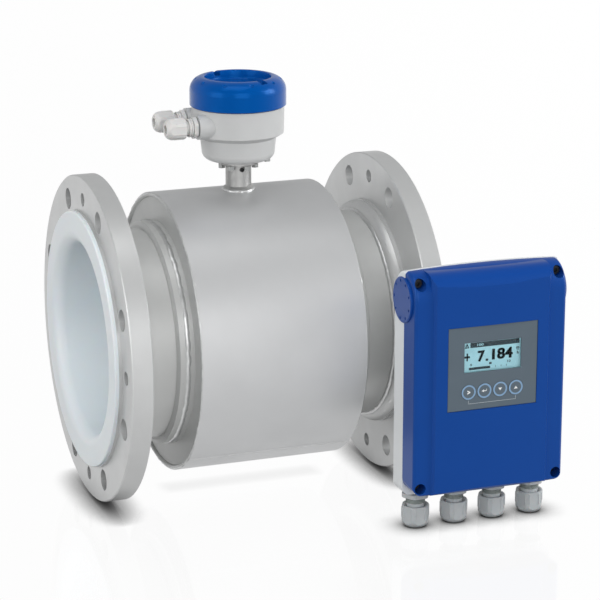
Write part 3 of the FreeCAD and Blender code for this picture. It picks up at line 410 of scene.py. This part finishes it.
# Modifiers applied, place moved into the mesh, then finish and body
def settle(piece, name, spec, body="meter", finish=None):
    pick([piece])
    for modifier in list(piece.modifiers):
        bpy.ops.object.modifier_apply(modifier=modifier.name)
    bpy.ops.object.transform_apply(location=True, rotation=True, scale=True)
    bpy.ops.object.shade_smooth_by_angle(angle=math.radians(spec.get("crease", smoothBelow)))
    piece.name = name
    piece.data.name = name
    piece.data.materials.clear()
    piece.data.materials.append(materials[finish or spec["finish"]])
    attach(piece, body)
    return piece


# Uneven surface: it moves in and out over depth mm, in clouds of size mm
def roughen(piece, name, size, depth):
    clouds = bpy.data.textures.new(name + "Clouds", "CLOUDS")
    clouds.noise_scale = size * mm
    clouds.noise_depth = 1
    modifier = piece.modifiers.new("roughen", "DISPLACE")
    modifier.texture = clouds
    modifier.texture_coords = "GLOBAL"
    modifier.strength = depth * mm
    modifier.mid_level = 0.5


def addRing(at, radius, section, turn=(0, 0, 0), segments=(96, 10)):
    clearSelection()
    bpy.ops.mesh.primitive_torus_add(major_segments=segments[0], minor_segments=segments[1],
                                     major_radius=radius * mm, minor_radius=section * mm,
                                     location=[c * mm for c in at], rotation=turn)
    return bpy.context.object


# ---- welds: beads laid by hand where the pipe meets the plates, the flanges and the neck

welds = {
    "finish": "weldMetalPaintedShade", "slot": "pipe_steel", "crease": 60,
    "segments": (300, 12), "neckSegments": (120, 12), "seamSides": 14, "seamCuts": 110,
    "rings": {
        # name: distance along the pipe, ring radius, bead radius, ripple size, ripple depth
        "CollarToeWeld": (99.0, 111.8, 4.6, 5.0, 1.5),
        "CollarCapWeld": (93.6, 113.2, 4.7, 6.0, 1.6),
        "RimWeld": (87.3, 143.6, 2.2, 5.0, 1.5),
        "HubToeWeld": (133.0, 109.4, 3.2, 4.0, 1.5),
        "HubCapWeld": (140.2, 112.1, 5.8, 5.0, 2.2),
    },
    # degrees below the horizontal, distance from the axis, bead radius, length, ripple size and depth
    "seam": (50.0, 145.4, 1.7, 172.0, 5.0, 1.3),
    # height, ring radius, bead radius, ripple size, ripple depth
    "neck": (145.6, 15.2, 2.6, 3.5, 1.0),
}


def buildWeldRings():
    for side, sign in (("inlet", -1), ("outlet", 1)):
        for name, (x, radius, bead, size, depth) in welds["rings"].items():
            ring = addRing((sign * x, 0, 0), radius, bead, (0, math.pi / 2, 0), welds["segments"])
            roughen(ring, side + name, size, depth)
            settle(ring, side + name, welds)


def buildSeamWeld():
    degrees, radius, bead, length, size, depth = welds["seam"]
    turn = math.radians(degrees)
    clearSelection()
    bpy.ops.mesh.primitive_cylinder_add(vertices=welds["seamSides"], radius=bead * mm,
                                        depth=length * mm, location=(0, 0, 0))
    seam = bpy.context.object
    for edge in seam.data.edges:
        ends = [seam.data.vertices[v].co.z for v in edge.vertices]
        edge.select = abs(ends[0] - ends[1]) > length * mm / 2
    for face in seam.data.polygons:
        face.select = False
    bpy.ops.object.mode_set(mode="EDIT")
    bpy.ops.mesh.select_mode(type="EDGE")
    bpy.ops.mesh.subdivide_edgering(number_cuts=welds["seamCuts"], interpolation="LINEAR")
    bpy.ops.object.mode_set(mode="OBJECT")
    seam.rotation_euler = (0, math.pi / 2, 0)
    seam.location = (0, -radius * math.cos(turn) * mm, -radius * math.sin(turn) * mm)
    roughen(seam, "housingSeamWeld", size, depth)
    settle(seam, "housingSeamWeld", welds)


def buildNeckWeld():
    z, radius, bead, size, depth = welds["neck"]
    ring = addRing((0, 0, z), radius, bead, (0, 0, 0), welds["neckSegments"])
    roughen(ring, "neckWeld", size, depth)
    settle(ring, "neckWeld", welds)


buildWeldRings()
buildSeamWeld()
buildNeckWeld()
print("welds laid")


# ---- printed work: thin ink on faces that look along -Y

# thickness in mm, and the height a flat sign gets before it is scaled to that
ink = {"depth": 0.05, "raise": 0.1}


# Scales a flat piece in XY to the given rectangle, all in mm, and stands it up against the front
def standUp(piece, left, low, width, height, front):
    pick([piece])
    xs = [v.co.x for v in piece.data.vertices]
    ys = [v.co.y for v in piece.data.vertices]
    zs = [v.co.z for v in piece.data.vertices]
    scale = (width * mm / (max(xs) - min(xs)), height * mm / (max(ys) - min(ys)),
             ink["depth"] * mm / (max(zs) - min(zs)))
    piece.scale = scale
    piece.rotation_euler = (math.pi / 2, 0, 0)
    piece.location = (left * mm - min(xs) * scale[0], front * mm + min(zs) * scale[2],
                      low * mm - min(ys) * scale[1])
    bpy.ops.object.transform_apply(location=True, rotation=True, scale=True)
    return piece


def thicken():
    bpy.ops.object.mode_set(mode="EDIT")
    bpy.ops.mesh.select_all(action="SELECT")
    bpy.ops.mesh.extrude_region_move(TRANSFORM_OT_translate={"value": (0, 0, ink["raise"])})
    bpy.ops.mesh.select_all(action="SELECT")
    bpy.ops.mesh.normals_make_consistent(inside=False)
    bpy.ops.object.mode_set(mode="OBJECT")


# weight makes the strokes bolder
def inkText(text, left, low, width, height, front, weight):
    clearSelection()
    bpy.ops.object.text_add(location=(0, 0, 0))
    piece = bpy.context.object
    piece.data.body = text
    piece.data.offset = weight
    piece.data.extrude = ink["raise"] / 2
    bpy.ops.object.convert(target="MESH")
    return standUp(bpy.context.object, left, low, width, height, front)


def inkBar(left, low, width, height, front):
    clearSelection()
    bpy.ops.mesh.primitive_plane_add(size=1.0, location=(0, 0, 0))
    thicken()
    return standUp(bpy.context.object, left, low, width, height, front)


# A triangle that points up, turned by the given degrees; hollow leaves only an outline that wide
def inkTriangle(left, low, width, height, front, turn, hollow=0.0):
    clearSelection()
    bpy.ops.mesh.primitive_circle_add(vertices=3, radius=1.0, fill_type="NGON", location=(0, 0, 0),
                                      rotation=(0, 0, math.radians(turn)))
    bpy.ops.object.transform_apply(location=True, rotation=True, scale=True)
    if hollow:
        bpy.ops.object.mode_set(mode="EDIT")
        bpy.ops.mesh.select_all(action="SELECT")
        bpy.ops.mesh.inset(thickness=hollow)
        bpy.ops.mesh.delete(type="ONLY_FACE")
        bpy.ops.object.mode_set(mode="OBJECT")
    thicken()
    return standUp(bpy.context.object, left, low, width, height, front)


# ---- display: figures, bar graph and marks as a liquid crystal draws them

display = {
    "finish": "crystalInk", "slot": "display_pane",
    # the opening over the pane, in mm
    "left": 155.8, "low": -4.1, "width": 62.0, "height": 31.0,
    "front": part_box("display_module")[0][1] / mm - ink["depth"],
    # text, left, low, width, height as shares of the opening, then stroke weight. The large figures
    # are drawn twice, a little apart, because a bolder stroke would close their loops
    "figures": [("7", 0.25, 0.31, 0.12, 0.37, 0.03), ("7", 0.258, 0.31, 0.12, 0.37, 0.03),
                (".", 0.39, 0.31, 0.05, 0.085, 0.03), ("184", 0.503, 0.33, 0.36, 0.37, 0.03),
                ("184", 0.511, 0.33, 0.36, 0.37, 0.03), ("0", 0.12, 0.19, 0.035, 0.08, 0.02),
                ("10", 0.775, 0.19, 0.06, 0.08, 0.02), ("m", 0.93, 0.61, 0.055, 0.075, 0.04),
                ("h", 0.943, 0.44, 0.032, 0.10, 0.04)],
    # left, low, width, height as shares: title bar, plus sign, bar graph and its ticks, unit line
    "bars": [(0.12, 0.80, 0.865, 0.165), (0.02, 0.465, 0.095, 0.07), (0.055, 0.37, 0.026, 0.26),
             (0.10, 0.06, 0.375, 0.08), (0.455, 0.19, 0.045, 0.07), (0.565, 0.07, 0.006, 0.07),
             (0.665, 0.07, 0.006, 0.07), (0.76, 0.07, 0.006, 0.07), (0.935, 0.575, 0.05, 0.012)],
    "warning": (0.022, 0.80, 0.08, 0.165), "warningOutline": 0.3,
    # pale figures that stand on the title bar
    "tag": ("100", 0.24, 0.845, 0.11, 0.08, 0.02), "tagFinish": "crystalPane", "tagLift": 0.06,
}


def displayPlace(left, low, width, height):
    return (display["left"] + left * display["width"], display["low"] + low * display["height"],
            width * display["width"], height * display["height"])


def buildDisplay():
    front = display["front"]
    marks = [inkText(text, *displayPlace(*place), front, weight)
             for text, *place, weight in display["figures"]]
    marks += [inkBar(*displayPlace(*place), front) for place in display["bars"]]
    marks.append(inkTriangle(*displayPlace(*display["warning"]), front, 0, display["warningOutline"]))
    settle(joinPieces(marks), "displayFigures", display)
    text, *place, weight = display["tag"]
    settle(inkText(text, *displayPlace(*place), front - display["tagLift"], weight), "displayTag",
           display, finish=display["tagFinish"])


buildDisplay()


# ---- keys: a pale ring and a sign on each, and the line that pairs the outer two

keySigns = {
    "finish": "keyRingInk", "slot": "key_blue",
    # the ring is a torus pressed flat to a share of its height and let into the key
    "ringRadius": 6.8, "ringWidth": 1.7, "ringSegments": (72, 8), "ringFlat": 0.04, "ringSink": 0.01,
    "signFinish": "whiteInk", "size": 4.2,
    # kind, text with its weight or degrees turned, then left, low, width, height as shares of the size
    "signs": [
        [("text", (">", 0.05), -0.38, -0.5, 0.8, 1.0)],
        [("triangle", 90, -0.75, -0.35, 0.6, 0.7), ("bar", None, -0.2, -0.1, 0.8, 0.2),
         ("bar", None, 0.45, -0.1, 0.16, 0.55)],
        [("triangle", 180, -0.5, -0.35, 1.0, 0.7)],
        [("triangle", 0, -0.5, -0.35, 1.0, 0.7)],
    ],
    # two short drops below the outer keys, joined by a line that is width mm thick
    "bracket": {"finish": "lineInk", "slot": "fascia_grey", "drop": 3.8, "width": 0.4, "gap": 0.2},
}


def drawSign(kind, detail, place, front):
    if kind == "text":
        text, weight = detail
        return inkText(text, *place, front, weight)
    if kind == "triangle":
        return inkTriangle(*place, front, detail)
    return inkBar(*place, front)


def buildKeySigns():
    size = keySigns["size"]
    for k, marks in enumerate(keySigns["signs"], 1):
        low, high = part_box("key_%d" % k)
        x, z = (low[0] + high[0]) / 2 / mm, (low[2] + high[2]) / 2 / mm
        front = low[1] / mm
        ring = addRing((x, front - keySigns["ringSink"], z), keySigns["ringRadius"],
                       keySigns["ringWidth"] / 2, (math.pi / 2, 0, 0), keySigns["ringSegments"])
        ring.scale = (1, 1, keySigns["ringFlat"])
        settle(ring, "keyRing%d" % k, keySigns, body="key_%d" % k)
        sign = [drawSign(kind, detail, (x + left * size, z + bottom * size, width * size, height * size),
                         front - ink["depth"]) for kind, detail, left, bottom, width, height in marks]
        settle(joinPieces(sign), "keySign%d" % k, keySigns, body="key_%d" % k,
               finish=keySigns["signFinish"])


def buildBracket():
    bracket = keySigns["bracket"]
    first, last = [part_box("key_%d" % k) for k in (1, 4)]
    x0, x1 = [(b[0][0] + b[1][0]) / 2 / mm for b in (first, last)]
    top = first[0][2] / mm - bracket["gap"]
    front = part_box("fascia")[0][1] / mm - ink["depth"]
    w = bracket["width"]
    bars = [inkBar(x0 - w / 2, top - bracket["drop"], w, bracket["drop"], front),
            inkBar(x0 + w / 2, top - bracket["drop"], x1 - x0 - w, w, front),
            inkBar(x1 - w / 2, top - bracket["drop"], w, bracket["drop"], front)]
    settle(joinPieces(bars), "keyBracket", bracket)


buildKeySigns()
buildBracket()
print("display and keys printed")


# ---- glands: thread turns that show between the body's flats and the nut

glandThreads = {
    "finish": "threadNylon", "boxFinish": "nylonLitCopy", "slot": "gland_grey", "segments": (48, 8),
    # radius, section, distance of the first turn from the seat, pitch and turns, on the converter
    # and then on the terminal box
    "radius": 9.4, "section": 0.62, "first": 7.4, "pitch": 1.45, "turns": 4,
    "boxRadius": 8.3, "boxSection": 1.25, "boxFirst": 6.8, "boxPitch": 2.3, "boxTurns": 2,
}


def buildGlandThreads():
    spec = glandThreads
    for k in range(1, 5):
        low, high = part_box("converter_gland_%d_body" % k)
        x, y = (low[0] + high[0]) / 2 / mm, (low[1] + high[1]) / 2 / mm
        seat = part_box("rear_housing")[0][2] / mm
        rings = [addRing((x, y, seat - spec["first"] - turn * spec["pitch"]), spec["radius"],
                         spec["section"], (0, 0, 0), spec["segments"])
                 for turn in range(spec["turns"])]
        settle(joinPieces(rings), "converterGlandThread%d" % k, spec)
    for side in ("front", "rear"):
        low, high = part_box(side + "_gland_body")
        y, z = (low[1] + high[1]) / 2 / mm, (low[2] + high[2]) / 2 / mm
        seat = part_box("terminal_box")[0][0] / mm
        rings = [addRing((seat - spec["boxFirst"] - turn * spec["boxPitch"], y, z), spec["boxRadius"],
                         spec["boxSection"], (0, math.pi / 2, 0), spec["segments"])
                 for turn in range(spec["boxTurns"])]
        settle(joinPieces(rings), side + "BoxGlandRings", spec, finish=spec["boxFinish"])


buildGlandThreads()
print("gland rings turned")


# ---- nut ribs: thin grip ribs each side of every corner of the hexagon

nutRibs = {
    "finish": "glandNylon", "boxFinish": "nylonLitCopy", "slot": "gland_grey",
    "radius": 14.1, "length": 11.5, "width": 0.9, "depth": 1.3, "start": 1.6,
    # degrees from the hexagon's corner to a rib, and the rounding as a share of a rib's width
    "corners": 6, "spread": 9.0, "rounding": 0.35, "roundSteps": 2,
    # the terminal box's nuts are smaller by these shares
    "boxWidth": 0.765, "boxLength": 0.9,
}


# One rib stands at the given radius and angle round Z, its low end at the given height
def addRib(radius, angle, low, length, width, depth):
    clearSelection()
    bpy.ops.mesh.primitive_cube_add(size=1.0, location=(0, 0, 0))
    rib = bpy.context.object
    rib.scale = (depth * mm, width * mm, length * mm)
    rib.location = (radius * math.cos(angle) * mm, radius * math.sin(angle) * mm,
                    (low + length / 2) * mm)
    rib.rotation_euler = (0, 0, angle)
    bpy.ops.object.transform_apply(location=True, rotation=True, scale=True)
    bevel = rib.modifiers.new("round", "BEVEL")
    bevel.width = width * nutRibs["rounding"] * mm
    bevel.segments = nutRibs["roundSteps"]
    bpy.ops.object.modifier_apply(modifier=bevel.name)
    return rib


# A full set round one nut, at shares of the converter's size
def ribsRound(wide, long):
    spec = nutRibs
    ribs = []
    for corner in range(spec["corners"]):
        for side in (-1, 1):
            angle = math.radians(360 / spec["corners"] * corner + side * spec["spread"])
            ribs.append(addRib(spec["radius"] * wide, angle, spec["start"] * long,
                               spec["length"] * long, spec["width"] * wide, spec["depth"] * wide))
    return joinPieces(ribs)


def buildNutRibs():
    spec = nutRibs
    for k in range(1, 5):
        low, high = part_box("converter_gland_%d_nut" % k)
        ribs = ribsRound(1.0, 1.0)
        ribs.rotation_euler = (math.pi, 0, 0)
        ribs.location = ((low[0] + high[0]) / 2, (low[1] + high[1]) / 2, high[2])
        settle(ribs, "converterNutRibs%d" % k, spec, body="converter_gland_%d_nut" % k)
    for side in ("front", "rear"):
        low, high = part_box(side + "_gland_nut")
        ribs = ribsRound(spec["boxWidth"], spec["boxLength"])
        ribs.rotation_euler = (0, -math.pi / 2, 0)
        ribs.location = (high[0], (low[1] + high[1]) / 2, (low[2] + high[2]) / 2)
        settle(ribs, side + "BoxNutRibs", spec, body=side + "_gland_nut", finish=spec["boxFinish"])


buildNutRibs()


# ---- neck: a small vent screw with a socket, in the weld neck's front

# its black finish is painted shade for the dark spot in the neck's front, as well as blackened steel
# place of its seat, radius and height of its head, radius and depth of its socket
ventScrew = {"finish": "blackSteelAndPaintedShade", "slot": "bright_steel", "at": (-1.0, -13.0, 168.6),
             "sides": 24, "radius": 2.2, "reach": 2.4, "socket": 1.4, "sink": 1.5}


def buildVentScrew():
    spec = ventScrew
    clearSelection()
    bpy.ops.mesh.primitive_cylinder_add(vertices=spec["sides"], radius=spec["radius"] * mm,
                                        depth=spec["reach"] * mm, location=(0, 0, 0))
    bpy.ops.object.mode_set(mode="EDIT")
    bpy.ops.mesh.select_all(action="DESELECT")
    bpy.ops.object.mode_set(mode="OBJECT")
    screw = bpy.context.object
    for face in screw.data.polygons:
        face.select = face.normal.z > 0.9
    bpy.ops.object.mode_set(mode="EDIT")
    bpy.ops.mesh.select_mode(type="FACE")
    bpy.ops.mesh.inset(thickness=(spec["radius"] - spec["socket"]) * mm)
    bpy.ops.mesh.extrude_region_move(TRANSFORM_OT_translate={"value": (0, 0, -spec["sink"] * mm)})
    bpy.ops.object.mode_set(mode="OBJECT")
    screw.rotation_euler = (math.pi / 2, 0, 0)
    x, y, z = spec["at"]
    screw.location = (x * mm, (y - spec["reach"] / 2) * mm, z * mm)
    settle(screw, "ventScrew", spec)


buildVentScrew()
print("nuts ribbed, vent screw set")
